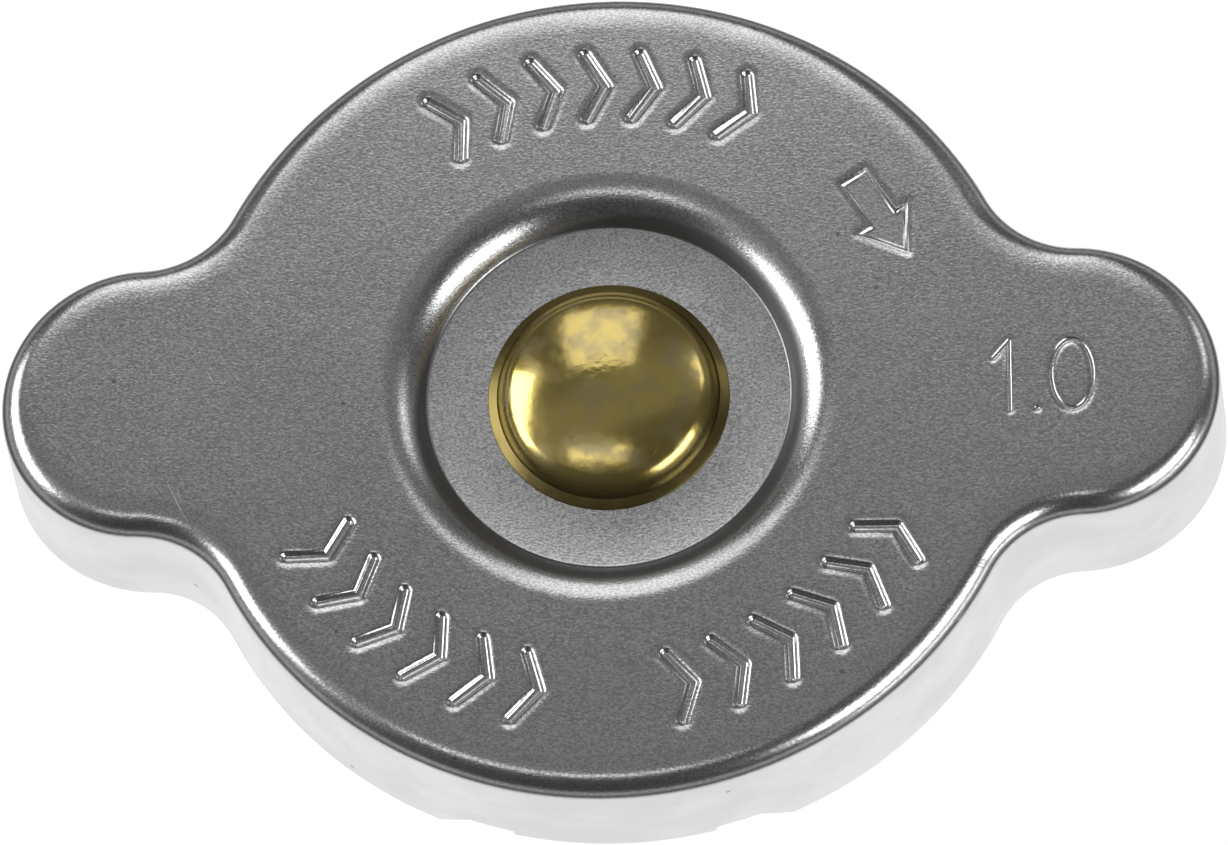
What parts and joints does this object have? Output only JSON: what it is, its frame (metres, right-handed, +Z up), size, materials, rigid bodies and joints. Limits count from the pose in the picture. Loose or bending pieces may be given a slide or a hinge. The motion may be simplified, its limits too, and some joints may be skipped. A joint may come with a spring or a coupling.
{
  "type": "radiator cap",
  "caption": "Two-eared pressed radiator cap with a domed centre rivet, inward locking lugs and a swivelling, sprung pressure valve that carries a small vacuum valve.",
  "frame": {"origin": "on the cap's axis, in the plane of the main seal's lower face, at the centre of the base of the bounding box", "axes": "+Z up along the axis, towards the rivet's head; X along the two ears; Y across them, with the picture taken from -Y and above"},
  "size_m": [0.0768, 0.0542, 0.0285],
  "materials": {
    "shell_metal": "bright plated steel sheet with a fine drawn grain",
    "rivet_brass": "polished, lightly tarnished",
    "plain_steel": "satin stainless sheet",
    "spring_wire": "drawn stainless wire",
    "valve_brass": "satin",
    "seal_rubber": "matte black moulding"
  },
  "bodies": {
    "cap": {"cap_shell": "shell_metal", "centre_rivet": "rivet_brass", "rivet_washer": "plain_steel"},
    "valve_carrier": {"swivel_washer": "valve_brass", "spring_disc": "plain_steel", "rim_gasket": "seal_rubber", "bell_housing": "plain_steel", "main_spring": "spring_wire"},
    "pressure_valve": {"spring_cup": "plain_steel", "seal_plate": "plain_steel", "main_seal": "seal_rubber", "vacuum_seat": "valve_brass", "vacuum_spring": "spring_wire"},
    "vacuum_valve": {"vacuum_valve": "valve_brass", "vacuum_gasket": "seal_rubber", "spring_keeper": "valve_brass"}
  },
  "joints": [
    {"name": "valve_swivel", "type": "hinge", "parent": "cap", "child": "valve_carrier", "pos_m": [0, 0, 0.0243], "axis": [0, 0, 1], "continuous": true},
    {"name": "pressure_lift", "type": "slide", "parent": "valve_carrier", "child": "pressure_valve", "axis": [0, 0, 1], "range_m": [0, 0.003], "stiffness_N_per_m": 200, "springref_m": -0.01, "deforming": ["main_spring"]},
    {"name": "vacuum_drop", "type": "slide", "parent": "pressure_valve", "child": "vacuum_valve", "axis": [0, 0, -1], "range_m": [0, 0.0015], "stiffness_N_per_m": 30, "springref_m": -0.01, "deforming": ["vacuum_spring"]}
  ]
}
